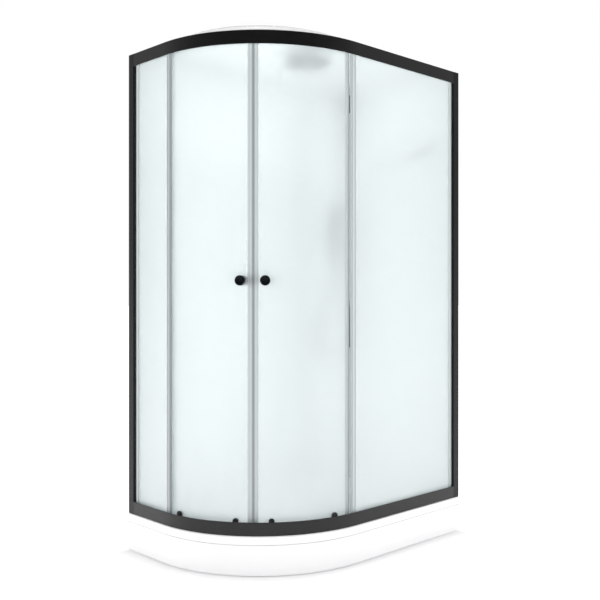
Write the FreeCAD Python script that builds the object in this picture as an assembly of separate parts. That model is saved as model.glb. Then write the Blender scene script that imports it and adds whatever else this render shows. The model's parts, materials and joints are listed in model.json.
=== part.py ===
import FreeCAD, Part
import math
import os

os.makedirs("parts", exist_ok=True)
V = FreeCAD.Vector

# Asymmetric quadrant shower cabin. Millimetres, +Z up, origin on the floor in the
# middle of the tray's rectangle. The long fixed panel faces -Y, the short fixed panel
# faces -X, and the curved doors close the corner between them.

# ---------------------------------------------------------------- driving dimensions
TRAY_X, TRAY_Y, TRAY_H = 600.0, 400.0, 150.0   # half length, half width, rim height
SKIRT_Z = 118.0            # lower edge of the tray's rim
APRON_Z0, APRON_Z1 = 4.0, 116.0
SHEET = 5.0                # tray, apron and wall sheet thickness
FLOOR_Z = 80.0             # standing surface
IN = 5.0                   # frame stands this far inside the tray's edge
XL, YF = -TRAY_X + IN, -TRAY_Y + IN            # outer planes of the frame
R_F = 530.0                # outer radius of the curved corner
CX, CY = XL + R_F, YF + R_F                    # centre of the curved corner
Z_TOP = 2040.0             # top of the frame
RAIL_H = 51.0              # visible face of the rails
RAIL_D = 28.0
PROF_W, PROF_D = 36.0, 30.0                    # wall profiles
Y_END, X_END = 400.0, 600.0                    # far ends of the frame
FIX_T0, FIX_T1 = 17.0, 22.0                    # fixed glass, behind the frame's face
RG1, RG0 = 496.0, 491.0                        # door glass radii
SEAM = 222.9               # angle where the two doors meet
A_LEFT, A_RIGHT = 176.8, 269.1                 # far edges of the doors
CAPS = {"left": (185.69, 215.1), "right": (260.41, 230.85)}  # roller angles: outer, inner
KNOBS = {"left": 217.66, "right": 228.11}
Z_KNOB = 1104.8
Z_BUTTON = 197.0
TRACK_H = 33.0             # height of the C-shaped tracks
TRK0, TRK1, LEDGE = 467.0, 485.5, 3.0
TRACK_A0, TRACK_A1 = 157.0, 293.0
WHEEL_R, WHEEL_W0, WHEEL_W1 = 10.0, 478.0, 485.0
AXLE_R, WHEEL_BORE = 3.0, 3.06
Z_UP = Z_TOP - TRACK_H + LEDGE + 0.3 + WHEEL_R  # upper wheel centres
Z_LOW = TRAY_H + TRACK_H - LEDGE - 0.3 - WHEEL_R  # lower wheel centres
WALL_Y0, WALL_X0 = 389.0, 589.0                # inner faces of the rear walls
HOSE_R = 7.0
RAIN = (0.0, -45.0)        # rain head position
Z_BALL = 2060.0
DRAIN = (300.0, 100.0)
MM = 180.0 / math.pi / 494.0                   # degrees per millimetre on the door


# ---------------------------------------------------------------- helpers
def rounded(points, radii, z=0.0):
    """Closed wire through points, each corner rounded with its radius."""
    n = len(points)
    starts, ends, arcs = [], [], []
    for i in range(n):
        p = V(points[i][0], points[i][1], z)
        a = V(points[i - 1][0], points[i - 1][1], z) - p
        b = V(points[(i + 1) % n][0], points[(i + 1) % n][1], z) - p
        a.normalize()
        b.normalize()
        r = radii[i]
        if r < 1e-6:
            starts.append(p)
            ends.append(p)
            arcs.append(None)
            continue
        half = a.getAngle(b) / 2
        t = r / math.tan(half)
        s, e = p + a * t, p + b * t
        bis = a + b
        bis.normalize()
        mid = p + bis * (r / math.sin(half) - r)
        starts.append(s)
        ends.append(e)
        arcs.append(Part.Arc(s, mid, e).toShape())
    edges = []
    for i in range(n):
        if arcs[i] is not None:
            edges.append(arcs[i])
        q = starts[(i + 1) % n]
        if (q - ends[i]).Length > 1e-6:
            edges.append(Part.LineSegment(ends[i], q).toShape())
    return Part.Wire(edges)


def prism(outline, z0, z1):
    return Part.Face(rounded(outline[0], outline[1], z0)).extrude(V(0, 0, z1 - z0))


def plan(d, xr, yb, rc, cham=None, rch=0.0):
    """Cabin outline, d inside the frame's outer planes on the two glazed sides."""
    x, y = XL + d, YF + d
    if cham is None:
        return [(x, yb), (x, y), (xr, y), (xr, yb)], [rc, R_F - d, rc, rc]
    return ([(x, yb), (x, y), (xr, y), (xr, cham - xr), (cham - yb, yb)],
            [rc, R_F - d, rc, rch, rch])


def band(d1, d2, z0, z1, y_end, x_end):
    """Strip that follows the two glazed sides between two offsets."""
    pts = [(XL + d1, y_end), (XL + d1, YF + d1), (x_end, YF + d1),
           (x_end, YF + d2), (XL + d2, YF + d2), (XL + d2, y_end)]
    return prism((pts, [0, R_F - d1, 0, 0, R_F - d2, 0]), z0, z1)


def box(x0, y0, z0, x1, y1, z1):
    return Part.makeBox(x1 - x0, y1 - y0, z1 - z0, V(x0, y0, z0))


def cyl(r, h, p, d=V(0, 0, 1)):
    return Part.makeCylinder(r, h, p, d)


def sector(section, a0, a1):
    """Section points (radius, z) turned about the curved corner's centre."""
    c, s = math.cos(math.radians(a0)), math.sin(math.radians(a0))
    pts = [V(CX + r * c, CY + r * s, z) for r, z in section]
    face = Part.Face(Part.makePolygon(pts + [pts[0]]))
    return face.revolve(V(CX, CY, 0), V(0, 0, 1), a1 - a0)


def slab(r0, r1, z0, z1, a0, a1):
    return sector([(r0, z0), (r1, z0), (r1, z1), (r0, z1)], a0, a1)


def lathe(profile):
    """Profile of (x, radius) points turned about the X axis; 'a' marks an arc."""
    edges, last = [], None
    first = V(profile[0][0], profile[0][1], 0)
    last = first
    for it in profile[1:]:
        if it[0] == "a":
            m, e = V(it[1][0], it[1][1], 0), V(it[2][0], it[2][1], 0)
            edges.append(Part.Arc(last, m, e).toShape())
        else:
            e = V(it[0], it[1], 0)
            edges.append(Part.LineSegment(last, e).toShape())
        last = e
    if (last - first).Length > 1e-6:
        edges.append(Part.LineSegment(last, first).toShape())
    return Part.Face(Part.Wire(edges)).revolve(V(0, 0, 0), V(1, 0, 0), 360)


def radial(shape, ang, z):
    """Moves a shape made along +X, x being the radius, to its angle and height."""
    s = shape.copy()
    s.rotate(V(0, 0, 0), V(0, 0, 1), ang)
    s.translate(V(CX, CY, z))
    return s


def fuse(shapes):
    s = shapes[0].multiFuse(shapes[1:])
    return s.removeSplitter()


def soften(shape, r, pick):
    """Rounds the edges that pick() accepts, or leaves them if that can't be done."""
    edges = [e for e in shape.Edges if pick(e)]
    try:
        out = shape.makeFillet(r, edges)
        if out.isValid() and out.Volume > 0:
            return out
    except Exception as err:
        print("not rounded:", len(edges), "edges", err)
    return shape


def at_z(z, tol=1e-4):
    return lambda e: abs(e.BoundBox.ZMin - z) < tol and abs(e.BoundBox.ZMax - z) < tol


nodes = {}


def keep(name, shape):
    solids = shape if isinstance(shape, list) else [shape]
    flat = [s for sh in solids for s in sh.Solids]
    assert flat, name
    nodes[name] = flat[0] if len(flat) == 1 else Part.makeCompound(flat)


# ---------------------------------------------------------------- tray and what it stands on
BASIN = plan(107, 538, 338, 70, cham=738, rch=60)
BOWL = plan(102, 543, 343, 75, cham=745.07, rch=65)
tray_out = prism(plan(-5, TRAY_X, TRAY_Y, 9), SKIRT_Z, TRAY_H)
tray_out = soften(tray_out, 5, at_z(TRAY_H))
tray_in = prism(plan(0, TRAY_X - SHEET, TRAY_Y - SHEET, 4), SKIRT_Z - 1, TRAY_H - 7)
bowl = soften(prism(BOWL, FLOOR_Z - SHEET, TRAY_H - 3), 28, at_z(FLOOR_Z - SHEET))
cavity = soften(prism(BASIN, FLOOR_Z, TRAY_H + 10), 24, at_z(FLOOR_Z))
tray = tray_out.cut(tray_in).fuse(bowl).cut(cavity).removeSplitter()
tray = tray.cut(cyl(45, 40, V(DRAIN[0], DRAIN[1], 60)))
tray = soften(tray, 5, lambda e: at_z(TRAY_H)(e) and not
              (e.BoundBox.XMin < -590 or e.BoundBox.YMin < -390 or e.BoundBox.XMax > 590
               or e.BoundBox.YMax > 390))
keep("tray", tray)

apron = fuse([band(-5, 0, APRON_Z0, APRON_Z1, 398, 598), band(0, 3, 96, 134, 390, 590)])
keep("front_apron", apron)

legs_rear = [(-500, 270), (0, 270), (500, 270)]
legs_front = [(-300, -230), (110, -230), (520, -230)]


def bar(x0, x1, y, legs):
    b = box(x0, y - 15, 50, x1, y + 15, 75).cut(box(x0 - 1, y - 13, 52, x1 + 1, y + 13, 73))
    for lx, ly in legs:
        b = b.cut(cyl(6.2, 10, V(lx, ly, 45)))
    return b


keep("tray_bar_rear", bar(-560, 560, 270, legs_rear))
keep("tray_bar_front", bar(-380, 560, -230, legs_front))
legs = legs_rear + legs_front
keep("leg_studs", [cyl(6, 58, V(x, y, 12)) for x, y in legs])


def hexnut(x, y, z, af, h, hole):
    r = af / math.sqrt(3)
    pts = [V(x + r * math.cos(math.radians(60 * k)), y + r * math.sin(math.radians(60 * k)), z)
           for k in range(6)]
    s = Part.Face(Part.makePolygon(pts + [pts[0]])).extrude(V(0, 0, h))
    return s.cut(cyl(hole, h + 2, V(x, y, z - 1)))


keep("leg_nuts", [hexnut(x, y, 40, 19, 10, 6.0) for x, y in legs])
foot = [Part.makeCone(22, 19, 12, V(x, y, 0)) for x, y in legs]
keep("leg_feet", [soften(f, 1.5, at_z(12)) for f in foot])

dx, dy = DRAIN
drain = fuse([cyl(58, 5, V(dx, dy, 70)), cyl(44.7, 12, V(dx, dy, 70)),
              cyl(56, 2, V(dx, dy, FLOOR_Z)), cyl(46, 10, V(dx, dy, 62))])
drain = drain.cut(cyl(39, 60, V(dx, dy, 50)))
keep("drain_body", drain)
trap = fuse([cyl(52, 65, V(dx, dy, 5)), cyl(25, 598 - dx, V(dx, dy, 37), V(1, 0, 0)),
             cyl(29, 58, V(dx, dy, 37), V(1, 0, 0))])
trap = trap.cut(cyl(48, 65, V(dx, dy, 9))).cut(cyl(22.4, 400, V(dx + 30, dy, 37), V(1, 0, 0)))
trap = soften(trap, 1.5, at_z(5))
keep("siphon_trap", trap)
cover = lathe([(0, 0), (0, 54), ("a", (2.2, 53.5), (4.0, 50)), ("a", (6.1, 27), (7, 4)), (7, 0)])
cover.rotate(V(0, 0, 0), V(0, 1, 0), -90)
cover.translate(V(dx, dy, FLOOR_Z + 6))
legs3 = [cyl(4, 6.3, V(dx + 47 * math.cos(a), dy + 47 * math.sin(a), FLOOR_Z + 2.1))
         for a in (0.5, 2.6, 4.7)]
keep("drain_cover", fuse([cover] + legs3))

# ---------------------------------------------------------------- rear walls, column and roof
keep("rear_wall_long", box(XL + PROF_D, WALL_Y0, TRAY_H, 437, WALL_Y0 + SHEET, Z_TOP))
keep("rear_wall_short", box(WALL_X0, YF + PROF_D, TRAY_H, WALL_X0 + SHEET, 237, Z_TOP))

# corner column: local x runs to the right along the diagonal face, local -y into the cabin
MX, MY = 504.75, 304.75
S2 = math.sqrt(0.5)


def to_column(shape):
    s = shape.copy()
    s.rotate(V(0, 0, 0), V(0, 0, 1), -45)
    s.translate(V(MX, MY, 0))
    return s


def cpt(e, n, z):
    """Point e to the right on the column's face and n in front of it."""
    return V(MX + (e - n) * S2, MY - (e + n) * S2, z)


inner = [(396, 394.0), (441, 394.0), (MX - 75 * S2, MY + 75 * S2), (MX + 75 * S2, MY - 75 * S2),
         (594.0, 241), (594.0, 196)]


def offset_line(pts, d):
    out = []
    for i, p in enumerate(pts):
        dirs = []
        for a, b in ((i - 1, i), (i, i + 1)):
            if a >= 0 and b < len(pts):
                t = V(pts[b][0] - pts[a][0], pts[b][1] - pts[a][1], 0)
                t.normalize()
                dirs.append(V(-t.y, t.x, 0))
        m = dirs[0] if len(dirs) == 1 else (dirs[0] + dirs[1])
        m.normalize()
        k = d / m.dot(dirs[0])
        out.append((p[0] + m.x * k, p[1] + m.y * k))
    return out


outer = offset_line(inner, 4.0)
col_pts = inner + outer[::-1]
col_rad = [0, 3, 26, 26, 3, 0] + [0, 6.5, 30, 30, 6.5, 0]
column = prism((col_pts, col_rad), TRAY_H, Z_TOP)
Z_PLATE0, Z_PLATE1, E_MIX = 1240.0, 1500.0, 20.0
Z_DIV, Z_TEMP, Z_OUT = 1440.0, 1345.0, 1270.0
for z, r in ((Z_DIV, 9), (Z_TEMP, 9), (Z_OUT, 9.2)):
    column = column.cut(to_column(cyl(r, 40, V(E_MIX, -20, z), V(0, 1, 0))))
keep("corner_column", column)

ROOF_RING_IN = plan(107, 540, 340, 70, cham=738, rch=60)
TUBE_X, TUBE_Y = cpt(E_MIX, -26, 0).x, cpt(E_MIX, -26, 0).y
ring = prism(plan(10, 596, 396, 8), Z_TOP, Z_TOP + 4).cut(prism(ROOF_RING_IN, Z_TOP - 1, Z_TOP + 5))
ring = ring.cut(cyl(8, 20, V(TUBE_X, TUBE_Y, Z_TOP - 8)))
keep("roof_ring", ring)


def dome(levels):
    """The roof's corner is tighter than the frame's: it meets the rail in the middle and steps back at the sides."""
    wires = []
    for d, z in levels:
        x, y, r = XL + ROOF_STEP + d, YF + ROOF_STEP + d, 9 + 0.3 * d
        wires.append(rounded([(x, 398 - d), (x, y), (598 - d, y), (598 - d, 398 - d)], [r, ROOF_R - d, r, r], z))
    return Part.makeLoft(wires, True, True)


ROOF_STEP, ROOF_R = 50.0, 377.0
CROWN = [(0, 2044), (0, 2047.5), (1, 2051.5), (3.5, 2055.5), (7.5, 2059), (12.5, 2062), (18, 2064), (32, 2067),
         (67, 2072.6), (102, 2078), (142, 2083), (182, 2087)]
UNDER = [(4, 2043), (4, 2046.5), (5, 2049.5), (7.3, 2053), (11, 2056.2), (15.5, 2058.7), (20.5, 2060.5), (32, 2063),
         (67, 2068.6), (102, 2074), (142, 2079), (182, 2083)]
roof = dome(CROWN).cut(dome(UNDER))
roof = roof.cut(cyl(10.2, 60, V(RAIN[0], RAIN[1], 2060)))
roof = roof.cut(cyl(10, 60, V(TUBE_X, TUBE_Y, 2048)))
keep("roof", roof)

# ---------------------------------------------------------------- black frame
def rail(z_face0, z_face1, z_web0, z_web1, z_rib0, z_rib1):
    y1, x1 = Y_END - PROF_W, X_END - PROF_W
    face = band(0, 3, z_face0, z_face1, y1, x1)
    face = soften(face, 0.9, lambda e: (at_z(z_face0)(e) or at_z(z_face1)(e)) and e.Length > 50)
    return fuse([face,
                 band(2, RAIL_D, z_web0, z_web1, y1, x1),
                 band(13.5, 16.5, z_rib0, z_rib1, y1, x1),
                 band(22.5, 24.5, z_rib0, z_rib1, y1, x1)])


keep("top_rail", rail(Z_TOP - RAIL_H, Z_TOP, Z_TOP - 4, Z_TOP - 0.2, Z_TOP - 18, Z_TOP - 3))
keep("bottom_rail", rail(TRAY_H, TRAY_H + RAIL_H, TRAY_H + 0.2, TRAY_H + 4, TRAY_H + 3, TRAY_H + 18))

left_prof = box(XL, Y_END - PROF_W, TRAY_H, XL + PROF_D, Y_END, Z_TOP)
left_prof = left_prof.cut(box(XL + 16.5, 300, TRAY_H - 1, XL + 22.5, Y_END - 19, Z_TOP + 1))
left_prof = left_prof.cut(box(XL + 3, Y_END - 16, TRAY_H - 1, XL + PROF_D - 3, Y_END - 3, Z_TOP + 1))
left_prof = left_prof.cut(box(XL + 3, Y_END - 33, TRAY_H - 1, XL + 13.5, Y_END - 19, Z_TOP + 1))
right_prof = box(X_END - PROF_W, YF, TRAY_H, X_END, YF + PROF_D, Z_TOP)
right_prof = right_prof.cut(box(500, YF + 16.5, TRAY_H - 1, X_END - 19, YF + 22.5, Z_TOP + 1))
right_prof = right_prof.cut(box(X_END - 16, YF + 3, TRAY_H - 1, X_END - 3, YF + PROF_D - 3, Z_TOP + 1))
right_prof = right_prof.cut(box(X_END - 33, YF + 3, TRAY_H - 1, X_END - 19, YF + 13.5, Z_TOP + 1))
left_prof = soften(left_prof, 1.5, lambda e: e.Length > 1000 and e.BoundBox.XMax < XL + 0.01)
right_prof = soften(right_prof, 1.5, lambda e: e.Length > 1000 and e.BoundBox.YMax < YF + 0.01)

screws = []


def screw(p, d):
    """Pan-head screw seated at p, head towards d."""
    s = lathe([(-5.5, 0), (-5.5, 1.9), (0.0, 1.9), (0.0, 4.2), (1.4, 4.2), ("a", (2.3, 3.3), (2.6, 0.8)), (2.6, 0)])
    s = s.cut(box(1.4, -2.6, -0.5, 3, 2.6, 0.5)).cut(box(1.4, -0.5, -2.6, 3, 0.5, 2.6))
    s.rotate(V(0, 0, 0), V(0, 0, 1), math.degrees(math.atan2(d[1], d[0])))
    s.translate(V(*p))
    return s


for z in (320.0, 880.0, 1440.0, 1900.0):
    left_prof = left_prof.cut(cyl(2.0, 7, V(XL + PROF_D + 1, Y_END - 26, z), V(-1, 0, 0)))
    right_prof = right_prof.cut(cyl(2.0, 7, V(X_END - 26, YF + PROF_D + 1, z), V(0, -1, 0)))
    screws.append(screw((XL + PROF_D, Y_END - 26, z), (1, 0)))
    screws.append(screw((X_END - 26, YF + PROF_D, z), (0, 1)))
keep("left_wall_profile", left_prof)
keep("right_wall_profile", right_prof)
keep("frame_screws", screws)

C_UP = [(TRK0, Z_TOP - TRACK_H), (TRK1, Z_TOP - TRACK_H), (TRK1, Z_TOP - TRACK_H + LEDGE),
        (TRK0 + 3, Z_TOP - TRACK_H + LEDGE), (TRK0 + 3, Z_TOP - 3), (TRK1, Z_TOP - 3),
        (TRK1, Z_TOP), (TRK0, Z_TOP)]
C_LOW = [(TRK0, TRAY_H), (TRK1, TRAY_H), (TRK1, TRAY_H + 3), (TRK0 + 3, TRAY_H + 3),
         (TRK0 + 3, TRAY_H + TRACK_H - LEDGE), (TRK1, TRAY_H + TRACK_H - LEDGE),
         (TRK1, TRAY_H + TRACK_H), (TRK0, TRAY_H + TRACK_H)]
keep("upper_track", sector(C_UP, TRACK_A0, TRACK_A1))
keep("lower_track", sector(C_LOW, TRACK_A0, TRACK_A1))

# ---------------------------------------------------------------- fixed panels
G_Z0, G_Z1 = TRAY_H + 6, Z_TOP - 6
Y_FREE, X_FREE = 127.3, -74.0
keep("fixed_glass_left", box(XL + FIX_T0, Y_FREE, G_Z0, XL + FIX_T1, Y_END - 20, G_Z1))
keep("fixed_glass_right", box(X_FREE, YF + FIX_T0, G_Z0, 580, YF + FIX_T1, G_Z1))
S_Z0, S_Z1 = TRAY_H + 19, Z_TOP - 19
seal_l = box(XL + 15.2, 123.3, S_Z0, XL + 23.8, 144, S_Z1).cut(
    box(XL + FIX_T0, Y_FREE, S_Z0 - 1, XL + FIX_T1, 152, S_Z1 + 1))
seal_r = box(-78, YF + 15.2, S_Z0, -53, YF + 23.8, S_Z1).cut(
    box(X_FREE, YF + FIX_T0, S_Z0 - 1, -30, YF + FIX_T1, S_Z1 + 1))
keep("fixed_glass_seals", [seal_l, seal_r])
gask_l = box(XL + 12.5, Y_END - 50, S_Z0, XL + FIX_T0, Y_END - PROF_W, S_Z1)
gask_r = box(550, YF + 12.5, S_Z0, 564, YF + FIX_T0, S_Z1)
gask_l = soften(gask_l, 2, lambda e: e.Length > 1000 and e.BoundBox.YMax < Y_END - 49.9 and e.BoundBox.XMax < XL + 13)
gask_r = soften(gask_r, 2, lambda e: e.Length > 1000 and e.BoundBox.XMax < 550.1 and e.BoundBox.YMax < YF + 13)
keep("profile_gaskets", [gask_l, gask_r])

# ---------------------------------------------------------------- doors
D_Z0, D_Z1 = TRAY_H + 8, Z_TOP - 8
HOLE_UP, HOLE_LOW, HOLE_KNOB = 5.2, 7.2, 4.6
hanger_up = lathe([(500.0, 0), (500.0, 8.0), ("a", (499.7, 9.3), (498.4, 9.6)), (496.2, 9.6), (496.2, 5.0),
                   (490.8, 5.0), (490.8, 8.0), (485.6, 8.0), (485.6, AXLE_R), (477.4, AXLE_R), (477.4, 5.0),
                   (474.5, 5.0), (474.5, 0)])
low_axle = lathe([(490.6, 0), (490.6, 8.0), (485.6, 8.0), (485.6, AXLE_R), (477.4, AXLE_R), (477.4, 5.0),
                  (474.5, 5.0), (474.5, 0)])
low_axle.translate(V(0, 0, Z_LOW - Z_BUTTON))
low_arm = box(486.4, -7, Z_LOW - Z_BUTTON, 490.6, 7, 0)
low_bush = lathe([(486.4, 0), (486.4, 10.0), (490.6, 10.0), (490.6, 7.0), (496.2, 7.0), (496.2, 9.4),
                  (497.0, 9.4), (497.0, 0)])
hanger_low = fuse([low_bush, low_arm, low_axle]).cut(cyl(4.06, 30, V(480, 0, 0), V(1, 0, 0)))
button = lathe([(503.1, 0), (503.1, 5.4), (504.0, 6.6), (504.0, 8.8), ("a", (503.5, 10.7), (502.0, 11.5)), (500.4, 11.5),
                (500.4, 4.0), (490.0, 4.0), (490.0, 0)])
wheel = lathe([(WHEEL_W0, WHEEL_BORE), (WHEEL_W0, 9.2), (WHEEL_W0 + 0.8, WHEEL_R),
               (WHEEL_W1 - 0.8, WHEEL_R), (WHEEL_W1, 9.2), (WHEEL_W1, WHEEL_BORE)])
knob_out = lathe([(496.2, 0), (496.2, 11.5), (498.4, 11.5), ("a", (499.6, 11.0), (500.0, 9.5)), (507.0, 9.0),
                  ("a", (508.6, 10.0), (509.2, 13.0)), (509.8, 15.5), ("a", (511.0, 18.2), (514.0, 19.3)),
                  (526.0, 19.3), ("a", (528.9, 18.4), (530.0, 16.0)), ("a", (528.7, 9.0), (528.2, 3.0)), (528.2, 0)])
knob_in = lathe([(490.8, 0), (490.8, 11.5), (488.6, 11.5), ("a", (487.4, 11.0), (487.0, 9.5)), (480.0, 9.0),
                 ("a", (478.4, 10.0), (477.8, 13.0)), (477.2, 15.5), ("a", (476.0, 18.2), (473.0, 19.3)),
                 (461.0, 19.3), ("a", (458.1, 18.4), (457.0, 16.0)), ("a", (458.3, 9.0), (458.8, 3.0)), (458.8, 0)])
knob_bolt = cyl(4.0, 496.2 - 490.8, V(490.8, 0, 0), V(1, 0, 0))


def door(side, a_out, a_meet):
    """a_out: far edge; a_meet: the seam. sg points from the far edge to the seam."""
    sg = 1.0 if a_meet > a_out else -1.0

    def arc(r0, r1, z0, z1, p, q):
        return slab(r0, r1, z0, z1, min(p, q), max(p, q))

    glass = arc(RG0, RG1, D_Z0, D_Z1, a_out + sg * 4 * MM, a_meet - sg * 8 * MM)
    for a in CAPS[side]:
        glass = glass.cut(radial(cyl(HOLE_UP, 30, V(480, 0, 0), V(1, 0, 0)), a, Z_UP))
        glass = glass.cut(radial(cyl(HOLE_LOW, 30, V(480, 0, 0), V(1, 0, 0)), a, Z_BUTTON))
    glass = glass.cut(radial(cyl(HOLE_KNOB, 30, V(480, 0, 0), V(1, 0, 0)), KNOBS[side], Z_KNOB))
    keep(side + "_door_glass", glass)

    z0, z1 = TRAY_H + 36, Z_TOP - 36
    wide = 21.3 if side == "left" else 18.3
    lip = arc(RG0 - 2, RG1 + 2, z0, z1, a_meet - sg * wide * MM, a_meet - sg * 4.3 * MM).cut(
        arc(RG0, RG1, z0 - 1, z1 + 1, a_meet - sg * (wide + 0.7) * MM, a_meet - sg * 8 * MM))
    magnet = arc(RG0 - 1, RG1 + 1, z0, z1, a_meet - sg * 4.3 * MM, a_meet - sg * 0.35 * MM)
    back = 10 if side == "left" else 16
    rear = arc(RG0 - 2, RG1 + 2, z0, z1, a_out, a_out + sg * back * MM).cut(
        arc(RG0, RG1, z0 - 1, z1 + 1, a_out + sg * 4 * MM, a_out + sg * (back + 1) * MM))
    keep(side + "_door_seals", [lip, magnet, rear])

    keep(side + "_door_knobs", [radial(knob_out, KNOBS[side], Z_KNOB),
                                radial(fuse([knob_in, knob_bolt]), KNOBS[side], Z_KNOB)])
    hangers = []
    for tag, a in zip(("outer", "inner"), CAPS[side]):
        hangers += [radial(hanger_up, a, Z_UP), radial(hanger_low, a, Z_BUTTON)]
        keep("%s_%s_upper_wheel" % (side, tag), radial(wheel, a, Z_UP))
        keep("%s_%s_lower_wheel" % (side, tag), radial(wheel, a, Z_LOW))
        keep("%s_%s_release_button" % (side, tag), radial(button, a, Z_BUTTON))
    keep(side + "_roller_hangers", hangers)


door("left", A_LEFT, SEAM)
door("right", A_RIGHT, SEAM)

# ---------------------------------------------------------------- water fittings
plate = Part.Face(rounded([(E_MIX - 45, Z_PLATE0), (E_MIX + 45, Z_PLATE0), (E_MIX + 45, Z_PLATE1),
                           (E_MIX - 45, Z_PLATE1)], [22] * 4)).extrude(V(0, 0, 14))
plate = soften(plate, 4, at_z(14))
plate.rotate(V(0, 0, 0), V(1, 0, 0), 90)          # thickness now runs to local -y
for z, r in ((Z_DIV, 9), (Z_TEMP, 9), (Z_OUT, 9.2)):
    plate = plate.cut(cyl(r, 40, V(E_MIX, -20, z), V(0, 1, 0)))
keep("mixer_plate", to_column(plate))

valve = box(E_MIX - 24, 4, Z_OUT - 18, E_MIX + 24, 44, 1462)
for z in (Z_TEMP, Z_DIV):
    valve = valve.cut(cyl(6.06, 26, V(E_MIX, 3, z), V(0, 1, 0)))
inlets = []
for z in (1305.0, 1400.0):
    inlets += [cyl(10.48, 32, V(E_MIX, 42, z), V(0, 1, 0)), cyl(15, 6, V(E_MIX, 44, z), V(0, 1, 0))]
valve = fuse([valve] + inlets)
keep("mixer_valve_body", to_column(valve))


def spindle_knob(z, r, grip):
    """Knob with its spindle, turned about local y."""
    k = lathe([(-24, 0), (-24, 6.0), (15.0, 6.0), (15.0, r - 4), (17.0, r), ("a", (30, r - 1.2), (41, r - 2.4)),
               ("a", (44.2, r - 3.6), (45, r - 6)), ("a", (44.3, r / 2), (44.0, 3)), (44.0, 0)])
    parts = [k]
    if grip == "lever":
        lev = Part.Face(rounded([(22, -5.5), (40, -5.5), (40, 5.5), (22, 5.5)], [5] * 4)).extrude(V(0, 0, r + 24))
        parts.append(soften(lev, 3, at_z(r + 24)))
    else:
        parts.append(cyl(2.2, 3.5, V(36, 0, r - 3.2), V(0, 0, 1)))
    k = fuse(parts)
    k.rotate(V(0, 0, 0), V(0, 0, 1), -90)          # outward is now local -y
    k.translate(V(E_MIX, 0, z))
    return k


keep("temperature_knob", to_column(spindle_knob(Z_TEMP, 27, "lever")))
keep("diverter_knob", to_column(spindle_knob(Z_DIV, 22, "mark")))

N_OUT, Z_ELBOW = 38.0, 1236.0
elbow = fuse([cyl(9, 4 + N_OUT, V(E_MIX, -N_OUT, Z_OUT), V(0, 1, 0)), Part.makeSphere(9, V(E_MIX, -N_OUT, Z_OUT)),
              cyl(9, Z_OUT - Z_ELBOW, V(E_MIX, -N_OUT, Z_ELBOW)),
              cyl(17, 4, V(E_MIX, -18, Z_OUT), V(0, 1, 0))])
keep("hose_outlet", to_column(elbow))

# hand shower, parked in its holder
HB, HT = V(58, -38, 1790), V(58, -78, 1955)
axis = HT - HB
H_LEN = axis.Length
axis.normalize()


def along(shape, p, d):
    """Moves a shape made along +X from the origin so that it runs from p along d."""
    s = shape.copy()
    s.Placement = FreeCAD.Placement(p, FreeCAD.Rotation(V(1, 0, 0), d)).multiply(s.Placement)
    return s


handle = lathe([(0, 0), (0, 9.5), ("a", (60, 10.6), (120, 12.0)), ("a", (150, 13.4), (H_LEN + 4, 13.0)), (H_LEN + 4, 0)])
face_dir = V(0, -0.80, -0.60)
head = lathe([(-13, 0), (-13, 14), ("a", (-9, 38), (1.0, 49.5)), ("a", (5, 52.4), (9.0, 50.5)), (9.5, 47.5), (8.6, 46.5), (8.6, 0)])
HEAD_C = V(58, -92, 1979)
hand = fuse([along(handle, HB, axis), along(head, HEAD_C, face_dir)])
keep("hand_shower", to_column(hand))

Z_HOLD = 1876.0
k = (Z_HOLD - HB.z) / (HT.z - HB.z)
hold_c = HB + (HT - HB) * k
cup = fuse([along(cyl(17.5, 28, V(-14, 0, 0), V(1, 0, 0)), hold_c, axis),
            cyl(9, -hold_c.y - 14, V(58, hold_c.y + 14, Z_HOLD), V(0, 1, 0)),
            cyl(20, 8, V(58, -8, Z_HOLD), V(0, 1, 0))])
bore = along(lathe([(-40, 0), (-40, 13.2), (60, 13.2), (60, 0)]), hold_c, axis)
gate = box(58 - 11, hold_c.y - 40, Z_HOLD - 40, 58 + 11, hold_c.y - 4, Z_HOLD + 40)
keep("hand_shower_holder", to_column(cup.cut(bore).cut(gate)))

# shower hose: route points to the right (e), in front (n) and up (z) of the column's face
nut_low = HB - axis * 24
up = nut_low - axis * 54
ROUTE_L = [(E_MIX, N_OUT, Z_ELBOW - 24), (E_MIX, N_OUT, 1157), (11, 38.3, 1097), (-8, 39, 1038), (-35, 40.3, 980),
           (-61, 41.8, 923), (-78.4, 43.2, 866), (-76.4, 44.1, 809.7), (-45.3, 52.1, 765.9), (4.7, 64.8, 748.9),
           (55, 77.6, 765), (86.9, 85.7, 808.2), (86, 87, 870), (79.6, 85, 950), (73, 79, 1060), (67, 68.5, 1200),
           (62, 55.5, 1345), (58.9, 38.5, 1490), (57.8, 25, 1615)]
ROUTE_L += [(58, -up.y, up.z), (58, -nut_low.y, nut_low.z)]
ROUTE = [cpt(*p) for p in ROUTE_L]
HOSE_TAN = [V(0, 0, -1), axis]
edges, last, length = [], ROUTE[0], 0.0
radii = []
for i in range(1, len(ROUTE) - 1):
    a, b = ROUTE[i - 1] - ROUTE[i], ROUTE[i + 1] - ROUTE[i]
    run = min(a.Length, b.Length)
    a.normalize()
    b.normalize()
    turn = math.pi - a.getAngle(b)
    cut = 0.45 * run
    rad = cut / math.tan(turn / 2)
    radii.append(round(rad))
    p, q = ROUTE[i] + a * cut, ROUTE[i] + b * cut
    bis = a + b
    bis.normalize()
    mid = ROUTE[i] + bis * (rad / math.cos(turn / 2) - rad)
    edges.append(Part.LineSegment(last, p).toShape())
    edges.append(Part.Arc(p, mid, q).toShape())
    last = q
edges.append(Part.LineSegment(last, ROUTE[-1]).toShape())
path = Part.Wire(edges)
tangent = ROUTE[1] - ROUTE[0]
ring_w = Part.Wire(Part.makeCircle(HOSE_R, ROUTE[0], tangent))
hose = path.makePipeShell([ring_w], True, False)
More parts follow.
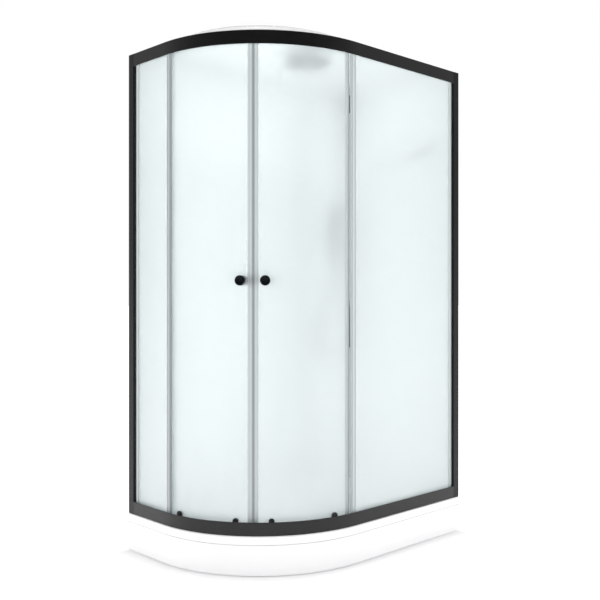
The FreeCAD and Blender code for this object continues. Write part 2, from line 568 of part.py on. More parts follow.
print("hose radii", radii, "length", round(path.Length, 1),
      "volume ratio", round(hose.Volume / (math.pi * HOSE_R ** 2 * path.Length), 4))
print("hose route", [tuple(round(c / 1000, 5) for c in p) for p in ROUTE])
keep("shower_hose", hose)
nut = lathe([(0, 0), (0, 11.0), (11, 11.0), ("a", (17, 10.4), (24, 8.2)), (24, 0)])
end_dir = ROUTE[1] - ROUTE[0]
keep("hose_nuts", [along(nut, ROUTE[0] - V(0, 0, -24), V(0, 0, -1)),
                   to_column(along(nut, HB, axis * -1))])

# rain head on a ball under the roof, fed by a tube that runs over the roof
rx, ry = RAIN
Z_TUBE = 2097.0
nipple = fuse([Part.makeSphere(14, V(rx, ry, Z_BALL)), cyl(7, 24, V(rx, ry, Z_BALL + 4)),
               cyl(15, 3, V(rx, ry, 2080)), cyl(10, 12, V(rx, ry, 2080)), cyl(12.5, 18, V(rx, ry, 2087))])
keep("rain_head_nipple", nipple)
rain = lathe([(-30, 0), (-30, 99), ("a", (-28.6, 100.5), (-26.5, 101)), ("a", (-22.5, 99), (-20.0, 92)), ("a", (-17.6, 56), (-16.6, 21.5)),
              (5, 20.0), (5, 0)])
rain.rotate(V(0, 0, 0), V(0, 1, 0), -90)
rain.translate(V(rx, ry, Z_BALL))
socket = fuse([Part.makeSphere(14.3, V(rx, ry, Z_BALL)),
               Part.makeCone(11, 17, 7, V(rx, ry, Z_BALL + 0.5))])
keep("rain_head", rain.cut(socket))
P0, P1 = V(TUBE_X, TUBE_Y, 1462), V(TUBE_X, TUBE_Y, Z_TUBE)
P2 = V(rx, ry, Z_TUBE)
h = P2 - P1
h.normalize()
P2 = P2 - h * 12.0
BEND = 40.0
pa, pb = P1 - V(0, 0, BEND), P1 + h * BEND
cb = P1 - V(0, 0, BEND) + h * BEND
pm = cb + (V(0, 0, 1) - h) * (BEND * S2)
tube_path = Part.Wire([Part.LineSegment(P0, pa).toShape(), Part.Arc(pa, pm, pb).toShape(),
                       Part.LineSegment(pb, P2).toShape()])
tube = tube_path.makePipeShell([Part.Wire(Part.makeCircle(6, P0, V(0, 0, 1)))], True, False)
tube = tube.cut(cyl(12.5, 40, V(rx, ry, 2080)))
keep("rain_supply_tube", tube)

# ---------------------------------------------------------------- shelf
SH_X0, SH_Y0, SH_Y1, SH_Z = 479.0, -260.0, 109.0, 1704.0
shelf = prism(([(SH_X0, SH_Y0), (WALL_X0, SH_Y0), (WALL_X0, SH_Y1), (SH_X0, SH_Y1)], [28, 0, 0, 28]), SH_Z, SH_Z + 20)
shelf = shelf.cut(prism(([(SH_X0 + 4, SH_Y0 + 4), (WALL_X0 - 4, SH_Y0 + 4), (WALL_X0 - 4, SH_Y1 - 4), (SH_X0 + 4, SH_Y1 - 4)],
                         [24, 6, 6, 24]), SH_Z + 6, SH_Z + 30))
for i in range(5):
    yy = SH_Y0 + 70 + i * 57.0
    shelf = shelf.cut(box(505, yy - 3, SH_Z - 5, 565, yy + 3, SH_Z + 10))
shelf = soften(shelf, 2, at_z(SH_Z))
keep("shelf", shelf)
brk = []
for yy in (-205.0, 54.0):
    tri = Part.Face(Part.makePolygon([V(WALL_X0, yy - 4, SH_Z), V(WALL_X0 - 85, yy - 4, SH_Z), V(WALL_X0 - 85, yy - 4, SH_Z - 6),
                                      V(WALL_X0 - 8, yy - 4, SH_Z - 48), V(WALL_X0, yy - 4, SH_Z - 48), V(WALL_X0, yy - 4, SH_Z)]))
    brk.append(tri.extrude(V(0, 8, 0)))
keep("shelf_brackets", brk)

# ---------------------------------------------------------------- export
for old in os.listdir("parts"):
    if old.endswith(".step") and old[:-5] not in nodes:
        os.remove(os.path.join("parts", old))
for name, shape in nodes.items():
    if not shape.isValid():
        print("INVALID", name)
    shape.exportStep("parts/%s.step" % name)
bb = Part.makeCompound(list(nodes.values())).optimalBoundingBox()
print(len(nodes), "nodes", [round(v, 2) for v in (bb.XMin, bb.XMax, bb.YMin, bb.YMax, bb.ZMin, bb.ZMax)])
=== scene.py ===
import json
import math
import bpy
import bmesh
from mathutils import Vector, Matrix


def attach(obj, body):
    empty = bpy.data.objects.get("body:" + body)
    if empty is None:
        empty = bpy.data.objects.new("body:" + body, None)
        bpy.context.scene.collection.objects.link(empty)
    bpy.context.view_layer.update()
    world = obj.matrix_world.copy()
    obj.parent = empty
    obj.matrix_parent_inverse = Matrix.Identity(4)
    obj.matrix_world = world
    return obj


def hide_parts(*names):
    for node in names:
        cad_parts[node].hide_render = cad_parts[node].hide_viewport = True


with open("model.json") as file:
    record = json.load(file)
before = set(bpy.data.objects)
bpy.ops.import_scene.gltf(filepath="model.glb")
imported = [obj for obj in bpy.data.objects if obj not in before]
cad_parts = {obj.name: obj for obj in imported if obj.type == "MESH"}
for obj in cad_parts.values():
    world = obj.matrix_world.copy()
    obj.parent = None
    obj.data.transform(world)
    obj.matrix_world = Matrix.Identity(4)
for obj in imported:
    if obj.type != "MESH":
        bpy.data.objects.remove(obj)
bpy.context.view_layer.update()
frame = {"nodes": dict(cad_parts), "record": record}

N = frame["nodes"]
scene = bpy.context.scene
CX, CY = -0.065, 0.135          # centre of the curved corner


# ------------------------------------------------------------------ camera
cam_data = bpy.data.cameras.new("camera")
cam_data.sensor_fit = "HORIZONTAL"
cam_data.sensor_width = 36.0
cam_data.lens = 50.48
cam_data.shift_x = -0.0481
cam_data.shift_y = -0.0105
cam_data.clip_end = 200.0
cam = bpy.data.objects.new("camera", cam_data)
scene.collection.objects.link(cam)
cam.location = (-2.4641, -2.6500, 1.0551)
cam.rotation_euler = Vector((0.70566, 0.70855, 0.0)).to_track_quat("-Z", "Y").to_euler()
scene.camera = cam


# ------------------------------------------------------------------ small helpers
def link(obj):
    scene.collection.objects.link(obj)
    return obj


def smooth(mesh, angle=40.0):
    for p in mesh.polygons:
        p.use_smooth = True
    mesh.set_sharp_from_angle(angle=math.radians(angle))


class Nodes:
    """A material's node tree with short ways to add to it."""

    def __init__(self, name):
        self.mat = bpy.data.materials.new(name)
        self.mat.use_nodes = True
        self.t = self.mat.node_tree
        self.t.nodes.clear()
        self.out = self.t.nodes.new("ShaderNodeOutputMaterial")
        self.bsdf = self.t.nodes.new("ShaderNodeBsdfPrincipled")
        self.t.links.new(self.bsdf.outputs[0], self.out.inputs["Surface"])
        self.co = self.t.nodes.new("ShaderNodeTexCoord").outputs["Object"]

    def set(self, **kw):
        for k, v in kw.items():
            self.bsdf.inputs[k.replace("_", " ")].default_value = v
        return self

    def wire(self, a, b):
        self.t.links.new(a, b)

    def scaled(self, sx, sy, sz):
        m = self.t.nodes.new("ShaderNodeMapping")
        m.inputs["Scale"].default_value = (sx, sy, sz)
        self.wire(self.co, m.inputs["Vector"])
        return m.outputs[0]

    def noise(self, scale, detail=3.0, rough=0.55, vec=None, distortion=0.0):
        n = self.t.nodes.new("ShaderNodeTexNoise")
        n.inputs["Scale"].default_value = scale
        n.inputs["Detail"].default_value = detail
        n.inputs["Roughness"].default_value = rough
        n.inputs["Distortion"].default_value = distortion
        self.wire(vec if vec is not None else self.co, n.inputs["Vector"])
        return n.outputs["Fac"]

    def ramp(self, fac, stops):
        r = self.t.nodes.new("ShaderNodeValToRGB")
        e = r.color_ramp.elements
        while len(e) < len(stops):
            e.new(0.5)
        for el, (p, c) in zip(e, stops):
            el.position = p
            el.color = (*c, 1.0) if len(c) == 3 else c
        self.wire(fac, r.inputs["Fac"])
        return r.outputs["Color"]

    def span(self, fac, lo, hi, f0=0.3, f1=0.7):
        m = self.t.nodes.new("ShaderNodeMapRange")
        m.inputs["From Min"].default_value = f0
        m.inputs["From Max"].default_value = f1
        m.inputs["To Min"].default_value = lo
        m.inputs["To Max"].default_value = hi
        self.wire(fac, m.inputs["Value"])
        return m.outputs[0]

    def math(self, op, a, b=None, clamp=False):
        m = self.t.nodes.new("ShaderNodeMath")
        m.operation = op
        m.use_clamp = clamp
        for i, v in enumerate((a, b)):
            if v is None:
                continue
            if isinstance(v, (int, float)):
                m.inputs[i].default_value = v
            else:
                self.wire(v, m.inputs[i])
        return m.outputs[0]

    def mix(self, fac, a, b):
        m = self.t.nodes.new("ShaderNodeMix")
        m.data_type = "RGBA"
        for sock, v in ((m.inputs[0], fac), (m.inputs[6], a), (m.inputs[7], b)):
            if isinstance(v, (int, float)):
                sock.default_value = v
            elif isinstance(v, tuple):
                sock.default_value = (*v, 1.0)
            else:
                self.wire(v, sock)
        return m.outputs[2]

    def bump(self, height, strength, dist):
        b = self.t.nodes.new("ShaderNodeBump")
        b.inputs["Strength"].default_value = strength
        b.inputs["Distance"].default_value = dist
        self.wire(height, b.inputs["Height"])
        self.wire(b.outputs[0], self.bsdf.inputs["Normal"])

    def color(self, sock):
        self.wire(sock, self.bsdf.inputs["Base Color"])

    def rough(self, sock):
        self.wire(sock, self.bsdf.inputs["Roughness"])

    def shadow_clear(self, tint):
        """Lets lamp light through, so that what is behind the sheet is lit."""
        path = self.t.nodes.new("ShaderNodeLightPath")
        clear = self.t.nodes.new("ShaderNodeBsdfTransparent")
        clear.inputs[0].default_value = (*tint, 1.0)
        m = self.t.nodes.new("ShaderNodeMixShader")
        self.wire(path.outputs["Is Shadow Ray"], m.inputs[0])
        self.wire(self.bsdf.outputs[0], m.inputs[1])
        self.wire(clear.outputs[0], m.inputs[2])
        self.wire(m.outputs[0], self.out.inputs["Surface"])

    def xyz(self):
        s = self.t.nodes.new("ShaderNodeSeparateXYZ")
        self.wire(self.co, s.inputs[0])
        return s.outputs

    def corner_angle(self):
        """Angle about the curved corner's centre, in degrees, 0 to 360."""
        x, y, z = self.xyz()
        a = self.math("ARCTAN2", self.math("SUBTRACT", y, CY), self.math("SUBTRACT", x, CX))
        a = self.math("MULTIPLY", a, 180.0 / math.pi)
        return self.math("ADD", a, self.math("MULTIPLY", self.math("LESS_THAN", a, 0.0), 360.0))


# ------------------------------------------------------------------ hose
ROUTE = [(0.49202, 0.26374, 1.212), (0.49202, 0.26374, 1.157), (0.48545, 0.26989, 1.097), (0.47152, 0.28283, 1.038),
         (0.4515, 0.301, 0.98), (0.43206, 0.31833, 0.923), (0.41877, 0.32964, 0.866), (0.41954, 0.32759, 0.8097),
         (0.43588, 0.29994, 0.7659), (0.46225, 0.25561, 0.7489), (0.48877, 0.21099, 0.765), (0.5056, 0.1827, 0.8082),
         (0.50404, 0.18242, 0.87), (0.50093, 0.18836, 0.95), (0.50051, 0.19727, 1.06), (0.50369, 0.20894, 1.2),
         (0.50935, 0.22166, 1.345), (0.51917, 0.23588, 1.49), (0.52794, 0.2462, 1.615), (0.53189, 0.24986, 1.7142),
         (0.52289, 0.24087, 1.76668)]


def hose_line():
    cu = bpy.data.curves.new("hose_line", "CURVE")
    cu.dimensions = "3D"
    cu.resolution_u = 48
    sp = cu.splines.new("NURBS")
    sp.points.add(len(ROUTE) - 1)
    for p, c in zip(sp.points, ROUTE):
        p.co = (*c, 1.0)
    sp.order_u = 3
    sp.use_endpoint_u = True
    ob = link(bpy.data.objects.new("hose_line", cu))
    bpy.context.view_layer.update()
    me = bpy.data.meshes.new_from_object(ob)
    pts = [v.co.copy() for v in me.vertices]
    bpy.data.objects.remove(ob)
    bpy.data.curves.remove(cu)
    bpy.data.meshes.remove(me)
    return pts


def wound_tube(name, line, r_out, depth, pitch, step, seg):
    """Tube along a line, with a shallow helical winding on its wall."""
    dist = [0.0]
    for a, b in zip(line, line[1:]):
        dist.append(dist[-1] + (b - a).length)
    total = dist[-1]
    n = int(total / step)
    rings, k = [], 0
    normal = None
    for i in range(n + 1):
        s = total * i / n
        while k < len(line) - 2 and dist[k + 1] < s:
            k += 1
        f = (s - dist[k]) / max(dist[k + 1] - dist[k], 1e-9)
        p = line[k].lerp(line[k + 1], f)
        t0 = (line[k + 1] - line[max(k - 1, 0)]).normalized()
        t1 = (line[min(k + 2, len(line) - 1)] - line[k]).normalized()
        t = t0.lerp(t1, f).normalized()
        if normal is None:
            normal = t.orthogonal().normalized()
        normal = (normal - t * normal.dot(t)).normalized()
        rings.append((s, p, normal.copy(), t.cross(normal)))
    bm = bmesh.new()
    grid = []
    for s, p, u, v in rings:
        row = []
        for j in range(seg):
            a = 2 * math.pi * j / seg
            w = 0.5 + 0.5 * math.cos(2 * math.pi * s / pitch - a)
            r = r_out - depth * (1.0 - min(1.0, 1.9 * w))
            row.append(bm.verts.new(p + (u * math.cos(a) + v * math.sin(a)) * r))
        grid.append(row)
    for a, b in zip(grid, grid[1:]):
        for j in range(seg):
            bm.faces.new((a[j], a[(j + 1) % seg], b[(j + 1) % seg], b[j]))
    bm.faces.new(grid[0][::-1])
    bm.faces.new(grid[-1])
    me = bpy.data.meshes.new(name)
    bm.to_mesh(me)
    bm.free()
    for f in me.polygons:
        f.use_smooth = True
    return bpy.data.objects.new(name, me), total


line = hose_line()
hose, hose_len = wound_tube("shower_hose_wound", line, 0.007, 0.0007, 0.0046, 0.00077, 20)
link(hose)
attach(hose, "cabin")
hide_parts("shower_hose")


# ------------------------------------------------------------------ materials
def white_acrylic():
    m = Nodes("white_acrylic").set(Specular_IOR_Level=0.5, Coat_Weight=0.25, Coat_Roughness=0.08, IOR=1.49)
    m.color(m.ramp(m.noise(2.5, 2.0), [(0.35, (0.882, 0.876, 0.884)), (0.65, (0.9, 0.896, 0.902))]))
    m.rough(m.span(m.noise(30.0, 3.0), 0.17, 0.27))
    m.bump(m.noise(420.0, 2.0), 0.05, 0.0004)
    return m


def roof_acrylic():
    """Thin white sheet that lets part of the daylight through."""
    m = Nodes("roof_acrylic").set(Specular_IOR_Level=0.5, IOR=1.49)
    m.color(m.ramp(m.noise(2.5, 2.0), [(0.35, (0.925, 0.928, 0.93)), (0.65, (0.945, 0.946, 0.945))]))
    m.rough(m.span(m.noise(30.0, 3.0), 0.2, 0.3))
    m.bump(m.noise(14.0, 2.0), 0.04, 0.002)
    m.shadow_clear((0.95, 0.955, 0.955))
    return m


def white_panel():
    m = Nodes("white_panel").set(Specular_IOR_Level=0.45)
    m.color(m.ramp(m.noise(2.0, 3.0, vec=m.scaled(1, 1, 0.3)), [(0.3, (0.8, 0.81, 0.81)), (0.7, (0.82, 0.83, 0.83))]))
    m.rough(m.span(m.noise(22.0, 4.0), 0.28, 0.4))
    m.bump(m.noise(700.0, 3.0), 0.06, 0.0003)
    return m


def black_aluminium():
    m = Nodes("black_aluminium").set(Specular_IOR_Level=0.26)
    m.color(m.ramp(m.noise(14.0, 4.0), [(0.3, (0.0016, 0.0017, 0.0018)), (0.7, (0.0026, 0.0027, 0.0028))]))
    m.rough(m.span(m.noise(60.0, 4.0), 0.3, 0.4))
    m.bump(m.noise(1800.0, 2.0), 0.06, 0.0002)
    return m


def rail_aluminium():
    """Black on the face; inside the channel a pale colour as painted light, lifting the shade that falls behind the
    glass near the rails.
    """
    m = Nodes("rail_aluminium").set(Specular_IOR_Level=0.45)
    x, y, z = m.xyz()
    dx = m.math("MAXIMUM", m.math("SUBTRACT", CX, x), 0.0)
    dy = m.math("MAXIMUM", m.math("SUBTRACT", CY, y), 0.0)
    r = m.math("SQRT", m.math("ADD", m.math("MULTIPLY", dx, dx), m.math("MULTIPLY", dy, dy)))
    black = m.ramp(m.noise(14.0, 4.0), [(0.3, (0.0016, 0.0017, 0.0018)), (0.7, (0.0026, 0.0027, 0.0028))])
    # painted light: the channel's inner faces are pale so the shade behind the rails reads lighter through the glass
    channel_painted_light = m.ramp(m.noise(20.0, 4.0), [(0.3, (0.82, 0.83, 0.83)), (0.7, (0.87, 0.875, 0.875))])
    m.color(m.mix(m.math("GREATER_THAN", r, 0.5274), channel_painted_light, black))
    m.rough(m.span(m.noise(60.0, 4.0), 0.3, 0.4))
    m.bump(m.noise(1800.0, 2.0), 0.06, 0.0002)
    return m


def white_aluminium():
    m = Nodes("white_aluminium").set(Specular_IOR_Level=0.45)
    streak = m.noise(1.0, 4.0, vec=m.scaled(9, 9, 900))
    m.color(m.ramp(streak, [(0.3, (0.86, 0.87, 0.87)), (0.7, (0.9, 0.905, 0.905))]))
    m.rough(m.span(streak, 0.3, 0.42))
    m.bump(m.noise(1500.0, 2.0), 0.08, 0.0002)
    return m


def frosted_glass():
    m = Nodes("frosted_glass").set(IOR=1.45, Transmission_Weight=0.7, Specular_IOR_Level=0.5)
    cloud = m.noise(3.0, 3.0)
    m.color(m.ramp(cloud, [(0.3, (0.912, 0.9595, 0.9635)), (0.7, (0.918, 0.9635, 0.9675))]))
    m.rough(m.span(m.noise(3.5, 2.0), 0.235, 0.255))
    m.shadow_clear((0.69, 0.71, 0.715))
    return m


def clear_seal():
    """Vinyl strips: painted shade darkens them along the edges and grooves of the extruded profile, and the left
    strip is a darker, shaded copy of the right one.
    """
    m = Nodes("clear_seal").set(IOR=1.5, Specular_IOR_Level=0.4)
    x, y, z = m.xyz()
    left = m.math("LESS_THAN", x, -0.3)
    across_l = m.math("DIVIDE", m.math("ABSOLUTE", m.math("SUBTRACT", y, 0.13365)), 0.01035)
    across_r = m.math("DIVIDE", m.math("ABSOLUTE", m.math("ADD", x, 0.0655)), 0.0125)
    across = m.math("ADD", m.math("MULTIPLY", across_l, left),
                    m.math("MULTIPLY", across_r, m.math("SUBTRACT", 1.0, left)))
    lines = m.noise(1.0, 2.0, vec=m.scaled(700, 700, 1.2))
    across = m.math("ADD", across, m.math("MULTIPLY", m.math("SUBTRACT", lines, 0.5), 0.04))
    # painted shade: dark bands across the strip near its edges; the left strip gets a darker shaded copy
    seal_painted_shade = m.ramp(across, [(0.0, (0.53, 0.57, 0.575)), (0.3, (0.48, 0.52, 0.525)), (0.55, (0.34, 0.37, 0.375)),
                           (0.8, (0.32, 0.35, 0.355)), (0.97, (0.47, 0.51, 0.515))])
    left_seal_painted_shade = m.ramp(across, [(0.0, (0.4, 0.43, 0.435)), (0.3, (0.36, 0.39, 0.395)), (0.55, (0.25, 0.27, 0.275)),
                           (0.8, (0.24, 0.26, 0.265)), (0.97, (0.33, 0.355, 0.36))])
    m.color(m.mix(left, seal_painted_shade, left_seal_painted_shade))
    m.rough(m.span(m.noise(90.0, 3.0), 0.3, 0.4))
    m.bump(lines, 0.08, 0.0003)
    m.shadow_clear((0.96, 0.97, 0.97))
    return m


def gasket_vinyl():
    """Strip between the wall profile and the fixed panel, with painted shade: darker where it goes under the profile.
    """
    m = Nodes("gasket_vinyl").set(IOR=1.5, Specular_IOR_Level=0.4)
    x, y, z = m.xyz()
    left = m.math("LESS_THAN", x, -0.3)
    # painted shade: the strip darkens where it goes under the profile
    profile_shade_l = m.math("MULTIPLY", m.math("DIVIDE", m.math("SUBTRACT", y, 0.350), 0.014), left)
    profile_shade_r = m.math("MULTIPLY", m.math("DIVIDE", m.math("SUBTRACT", x, 0.550), 0.014), m.math("SUBTRACT", 1.0, left))
    wave = m.noise(1.0, 2.0, vec=m.scaled(500, 500, 1.5))
    profile_shade = m.math("ADD", m.math("ADD", profile_shade_l, profile_shade_r), m.math("MULTIPLY", m.math("SUBTRACT", wave, 0.5), 0.15))
    m.color(m.ramp(profile_shade, [(0.0, (0.58, 0.615, 0.62)), (0.5, (0.48, 0.515, 0.52)), (0.9, (0.36, 0.39, 0.395))]))
    m.rough(m.span(m.noise(90.0, 3.0), 0.32, 0.42))
    m.bump(wave, 0.06, 0.0003)
    m.shadow_clear((0.96, 0.97, 0.97))
    return m


def door_seal():
    """Vinyl strip whose tone changes in bands with the angle about the corner, darkest at the meeting edge."""
    m = Nodes("door_seal").set(IOR=1.5, Specular_IOR_Level=0.4)
    lines = m.noise(1.0, 2.0, vec=m.scaled(700, 700, 1.2))
    off = m.math("ABSOLUTE", m.math("SUBTRACT", m.corner_angle(), 222.9))
    across = m.math("ADD", m.math("DIVIDE", off, 2.5), m.math("MULTIPLY", m.math("SUBTRACT", lines, 0.5), 0.04))
    m.color(m.ramp(across, [(0.0, (0.265, 0.292, 0.297)), (0.17, (0.265, 0.292, 0.297)), (0.23, (0.39, 0.422, 0.427)),
                            (0.45, (0.51, 0.548, 0.553)), (0.68, (0.42, 0.457, 0.462)), (0.9, (0.485, 0.523, 0.528)),
                            (1.0, (0.52, 0.56, 0.565))]))
    m.rough(m.span(m.noise(90.0, 3.0), 0.3, 0.4))
    m.bump(lines, 0.08, 0.0003)
    m.shadow_clear((0.96, 0.97, 0.97))
    return m


def black_fitting():
    m = Nodes("black_fitting").set(Specular_IOR_Level=0.1)
    m.color(m.ramp(m.noise(25.0, 3.0), [(0.3, (0.002, 0.0028, 0.003)), (0.7, (0.0034, 0.0046, 0.0048))]))
    m.rough(m.span(m.noise(120.0, 4.0), 0.24, 0.34))
    m.bump(m.noise(1600.0, 2.0), 0.04, 0.0002)
    return m


def graphite_satin():
    m = Nodes("graphite_satin").set(Specular_IOR_Level=0.5)
    m.color(m.ramp(m.noise(20.0, 3.0), [(0.3, (0.125, 0.127, 0.13)), (0.7, (0.15, 0.152, 0.155))]))
    m.rough(m.span(m.noise(140.0, 4.0), 0.3, 0.4))
    m.bump(m.noise(1600.0, 2.0), 0.05, 0.0002)
    return m


def black_plastic():
    m = Nodes("black_plastic").set(Specular_IOR_Level=0.45)
    m.color(m.ramp(m.noise(60.0, 3.0), [(0.3, (0.022, 0.022, 0.023)), (0.7, (0.034, 0.034, 0.036))]))
    m.rough(m.span(m.noise(200.0, 4.0), 0.4, 0.55))
    m.bump(m.noise(2400.0, 3.0), 0.2, 0.0002)
    return m


def wheel_nylon():
    m = Nodes("wheel_nylon").set(Subsurface_Weight=0.15, Subsurface_Scale=0.004)
    m.color(m.ramp(m.noise(150.0, 3.0), [(0.3, (0.74, 0.74, 0.7)), (0.7, (0.82, 0.82, 0.79))]))
    m.rough(m.span(m.noise(300.0, 3.0), 0.35, 0.5))
    m.bump(m.noise(1500.0, 2.0), 0.08, 0.0002)
    return m


def zinc_steel():
    m = Nodes("zinc_steel").set(Metallic=1.0)
    patch = m.noise(45.0, 5.0, 0.65, distortion=0.6)
    m.color(m.ramp(patch, [(0.3, (0.5, 0.52, 0.54)), (0.52, (0.6, 0.6, 0.58)), (0.72, (0.68, 0.69, 0.7))]))
    m.rough(m.span(patch, 0.28, 0.46))
    m.bump(m.noise(900.0, 3.0), 0.12, 0.0002)
    return m


def foot_rubber():
    m = Nodes("foot_rubber").set(Specular_IOR_Level=0.3)
    m.color(m.ramp(m.noise(80.0, 4.0), [(0.3, (0.018, 0.018, 0.018)), (0.7, (0.035, 0.034, 0.033))]))
    m.rough(m.span(m.noise(140.0, 4.0), 0.65, 0.85))
    m.bump(m.noise(1200.0, 3.0), 0.25, 0.0003)
    return m


def pipe_plastic():
    m = Nodes("pipe_plastic").set(Specular_IOR_Level=0.45)
    m.color(m.ramp(m.noise(30.0, 4.0), [(0.3, (0.7, 0.71, 0.7)), (0.7, (0.78, 0.79, 0.78))]))
    m.rough(m.span(m.noise(110.0, 3.0), 0.35, 0.5))
    m.bump(m.noise(900.0, 3.0), 0.1, 0.0003)
    return m


def chrome():
    m = Nodes("chrome").set(Metallic=1.0)
    smear = m.noise(35.0, 5.0, 0.6, distortion=0.8)
    m.color(m.ramp(smear, [(0.3, (0.72, 0.73, 0.74)), (0.7, (0.8, 0.81, 0.82))]))
    m.rough(m.span(smear, 0.05, 0.13))
    m.bump(m.noise(700.0, 2.0), 0.02, 0.0002)
    return m


def brass():
    m = Nodes("brass").set(Metallic=1.0)
    patch = m.noise(55.0, 5.0, 0.6, distortion=0.4)
    m.color(m.ramp(patch, [(0.3, (0.42, 0.28, 0.11)), (0.6, (0.66, 0.48, 0.2)), (0.8, (0.74, 0.56, 0.26))]))
    m.rough(m.span(patch, 0.52, 0.3))
    m.bump(m.noise(600.0, 4.0), 0.25, 0.0004)
    return m


def hose_black():
    m = Nodes("hose_black").set(Metallic=0.35, Specular_IOR_Level=0.5)
    m.color(m.ramp(m.noise(120.0, 3.0), [(0.3, (0.02, 0.02, 0.022)), (0.7, (0.035, 0.035, 0.038))]))
    m.rough(m.span(m.noise(260.0, 3.0), 0.24, 0.4))
    m.bump(m.noise(1500.0, 2.0), 0.06, 0.0002)
    return m


def feed_tube():
    m = Nodes("feed_tube").set(Specular_IOR_Level=0.45, Subsurface_Weight=0.1, Subsurface_Scale=0.003)
    m.color(m.ramp(m.noise(40.0, 3.0), [(0.3, (0.76, 0.78, 0.78)), (0.7, (0.83, 0.84, 0.84))]))
    m.rough(m.span(m.noise(90.0, 3.0), 0.28, 0.42))
    m.bump(m.noise(800.0, 2.0), 0.05, 0.0003)
    return m


def nozzle_rubber():
    m = Nodes("nozzle_rubber").set(Specular_IOR_Level=0.35)
    m.color(m.ramp(m.noise(200.0, 3.0), [(0.3, (0.16, 0.165, 0.17)), (0.7, (0.22, 0.225, 0.23))]))
    m.rough(m.span(m.noise(300.0, 3.0), 0.45, 0.6))
    m.bump(m.noise(1500.0, 2.0), 0.1, 0.0002)
    return m


MADE = {
    "white_acrylic": white_acrylic(), "white_panel": white_panel(), "black_aluminium": black_aluminium(),
    "white_aluminium": white_aluminium(), "frosted_glass": frosted_glass(), "clear_seal": clear_seal(),
    "black_fitting": black_fitting(), "black_plastic": black_plastic(), "wheel_nylon": wheel_nylon(),
    "zinc_steel": zinc_steel(), "foot_rubber": foot_rubber(), "grey_pipe": pipe_plastic(), "chrome": chrome(),
    "brass": brass(), "hose_black": hose_black(), "feed_tube": feed_tube(),
}
OWN = {"left_door_seals": door_seal(), "profile_gaskets": gasket_vinyl(), "roof": roof_acrylic()}
OWN["right_door_seals"] = OWN["left_door_seals"]
OWN["top_rail"] = OWN["bottom_rail"] = rail_aluminium()
OWN["mixer_plate"] = graphite_satin()
NOZZLE = nozzle_rubber()

slot_of = {s["node"]: s["material_slot"] for s in frame["record"]["subparts"]}
for name, obj in N.items():
    made = OWN.get(name) or MADE[slot_of[name]]
    obj.data.materials.clear()
    obj.data.materials.append(made.mat)
hose.data.materials.append(MADE["hose_black"].mat)


# ------------------------------------------------------------------ nozzles on the two shower heads
def nozzle_field(name, centre, out, rings, r, h, sink=0.0004):
    """Rings of small tapered nozzles on a face, standing out along `out`."""
    out = Vector(out).normalized()
    turn = Vector((0, 0, 1)).rotation_difference(out).to_matrix()
    bm = bmesh.new()
    for radius, count in rings:
        for i in range(count):
            a = 2 * math.pi * i / count + radius * 40.0
            base = Vector((radius * math.cos(a), radius * math.sin(a), 0.0))
            prof = [(r * 1.25, -sink), (r * 1.05, h * 0.25), (r * 0.8, h * 0.85), (r * 0.6, h), (r * 0.25, h * 0.98)]
            rows = []
            for rr, z in prof:
                rows.append([bm.verts.new(turn @ (base + Vector((rr * math.cos(b), rr * math.sin(b), z))) + Vector(centre))
                             for b in [2 * math.pi * k / 10 for k in range(10)]])
            for p, q in zip(rows, rows[1:]):
                for k in range(10):
                    bm.faces.new((p[k], p[(k + 1) % 10], q[(k + 1) % 10], q[k]))
            bm.faces.new(rows[0][::-1])
            bm.faces.new(rows[-1])
    me = bpy.data.meshes.new(name)
    bm.to_mesh(me)
    bm.free()
    smooth(me, 50)
    ob = link(bpy.data.objects.new(name, me))
    ob.data.materials.append(NOZZLE.mat)
    return ob


rain_rings = [(0.0, 1), (0.013, 6), (0.026, 12), (0.039, 18), (0.052, 24), (0.065, 30), (0.078, 36), (0.089, 40)]
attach(nozzle_field("rain_head_nozzles", (0.0, -0.045, 2.030), (0, 0, -1), rain_rings, 0.0021, 0.0018), "rain_head")

S2 = math.sqrt(0.5)


def cpt(e, n, z):
    """Point e to the right on the corner column's face and n in front of it, in metres."""
    return Vector((0.50475 + (e - n) * S2, 0.30475 - (e + n) * S2, z))


face_dir = Vector((-0.80 * S2, -0.80 * S2, -0.60))
hand_face = cpt(0.058, 0.092, 1.979) + face_dir.normalized() * 0.0086
hand_rings = [(0.0, 1), (0.010, 6), (0.020, 12), (0.030, 18), (0.040, 24)]
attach(nozzle_field("hand_shower_nozzles", hand_face, face_dir, hand_rings, 0.0017, 0.0016), "cabin")


# ------------------------------------------------------------------ studio
def floor_material():
    m = Nodes("studio_floor").set(Roughness=0.9, Specular_IOR_Level=0.0)
    m.color(m.ramp(m.noise(0.7, 2.0), [(0.3, (0.80, 0.80, 0.805)), (0.7, (0.82, 0.82, 0.825))]))
    m.bsdf.inputs["Emission Color"].default_value = (1, 1, 1, 1)
    x, y, z = m.xyz()
    # The floor glows, and the glow dips within about 0.1 m of the tray's front and left: a painted contact shadow.
    # Further out it rises to keep the far floor white.
    dx = m.math("MAXIMUM", m.math("SUBTRACT", CX, x), 0.0)
    dy = m.math("MAXIMUM", m.math("SUBTRACT", CY, y), 0.0)
    away = m.math("SUBTRACT", m.math("SQRT", m.math("ADD", m.math("MULTIPLY", dx, dx), m.math("MULTIPLY", dy, dy))), 0.535)
    past = m.math("MAXIMUM", m.math("SUBTRACT", x, 0.585), m.math("SUBTRACT", y, 0.385))
    away = m.math("MAXIMUM", away, m.math("MULTIPLY", past, 7.0))
    painted_shadow_glow = m.span(away, 0.23, 0.56, 0.0, 0.1)
    far = m.span(away, 0.0, 0.4, 0.1, 1.5)
    m.wire(m.math("ADD", painted_shadow_glow, far), m.bsdf.inputs["Emission Strength"])
    return m.mat


bm = bmesh.new()
bmesh.ops.create_grid(bm, x_segments=2, y_segments=2, size=60.0)
me = bpy.data.meshes.new("studio_floor")
bm.to_mesh(me)
bm.free()
floor = link(bpy.data.objects.new("studio_floor", me))
floor.location = (0, 0, -0.0005)
floor.data.materials.append(floor_material())

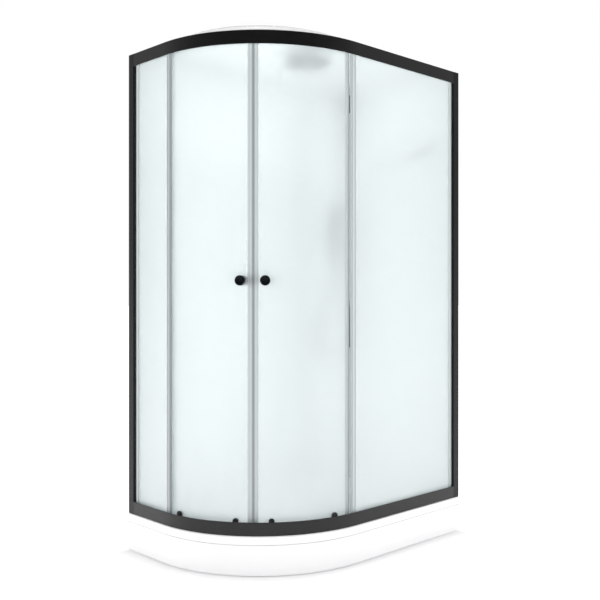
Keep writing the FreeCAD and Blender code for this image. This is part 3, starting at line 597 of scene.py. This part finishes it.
world = bpy.data.worlds.new("studio")
scene.world = world
world.use_nodes = True
wt = world.node_tree
bg = wt.nodes["Background"]
bg.inputs["Color"].default_value = (1.0, 1.0, 1.0, 1.0)
direction = wt.nodes.new("ShaderNodeTexCoord").outputs["Generated"]
toward = wt.nodes.new("ShaderNodeVectorMath")
toward.operation = "DOT_PRODUCT"
toward.inputs[1].default_value = (0.7071, 0.7071, 0.0)
wt.links.new(direction, toward.inputs[0])
shade = wt.nodes.new("ShaderNodeMapRange")
shade.interpolation_type = "SMOOTHSTEP"
shade.inputs["From Min"].default_value = -0.8
shade.inputs["From Max"].default_value = 0.5
shade.inputs["To Min"].default_value = 0.06
shade.inputs["To Max"].default_value = 0.66
wt.links.new(toward.outputs["Value"], shade.inputs["Value"])
seen = wt.nodes.new("ShaderNodeLightPath").outputs["Is Camera Ray"]
power = wt.nodes.new("ShaderNodeMix")
power.inputs[3].default_value = 1.0
wt.links.new(seen, power.inputs[0])
wt.links.new(shade.outputs[0], power.inputs[2])
wt.links.new(power.outputs[0], bg.inputs["Strength"])


def area(name, loc, target, size, power):
    d = bpy.data.lights.new(name, "AREA")
    d.shape = "RECTANGLE"
    d.size, d.size_y = size
    d.energy = power
    ob = link(bpy.data.objects.new(name, d))
    ob.location = loc
    ob.rotation_euler = (Vector(target) - Vector(loc)).to_track_quat("-Z", "Y").to_euler()
    return ob


key = area("key_left", (-4.35, 0.4, 1.3), (-0.2, 0.0, 1.0), (2.4, 2.6), 88.0)
fill = area("fill_right", (1.0, -4.3, 1.3), (0.1, 0.0, 1.0), (2.4, 2.6), 93.0)
key.visible_glossy = fill.visible_glossy = False
key.visible_transmission = fill.visible_transmission = False
area("top_soft", (0.0, -0.3, 4.6), (0.0, 0.0, 0.0), (3.2, 3.2), 24.0)
low = area("low_front", (-2.3, -2.2, 0.22), (-0.35, -0.2, 0.06), (1.8, 0.3), 0.15)
low.data.spread = math.radians(40)
up = area("inside_up", (-0.02, -0.02, 1.6), (-0.02, -0.02, 2.0), (0.6, 0.4), 1.3)
back = area("inside_back", (-0.2, -0.1, 1.0), (0.2, 0.4, 1.0), (0.5, 1.8), 3.0)
for lamp in (up, back):
    lamp.visible_camera = lamp.visible_glossy = lamp.visible_transmission = False

scene.view_settings.view_transform = "Standard"
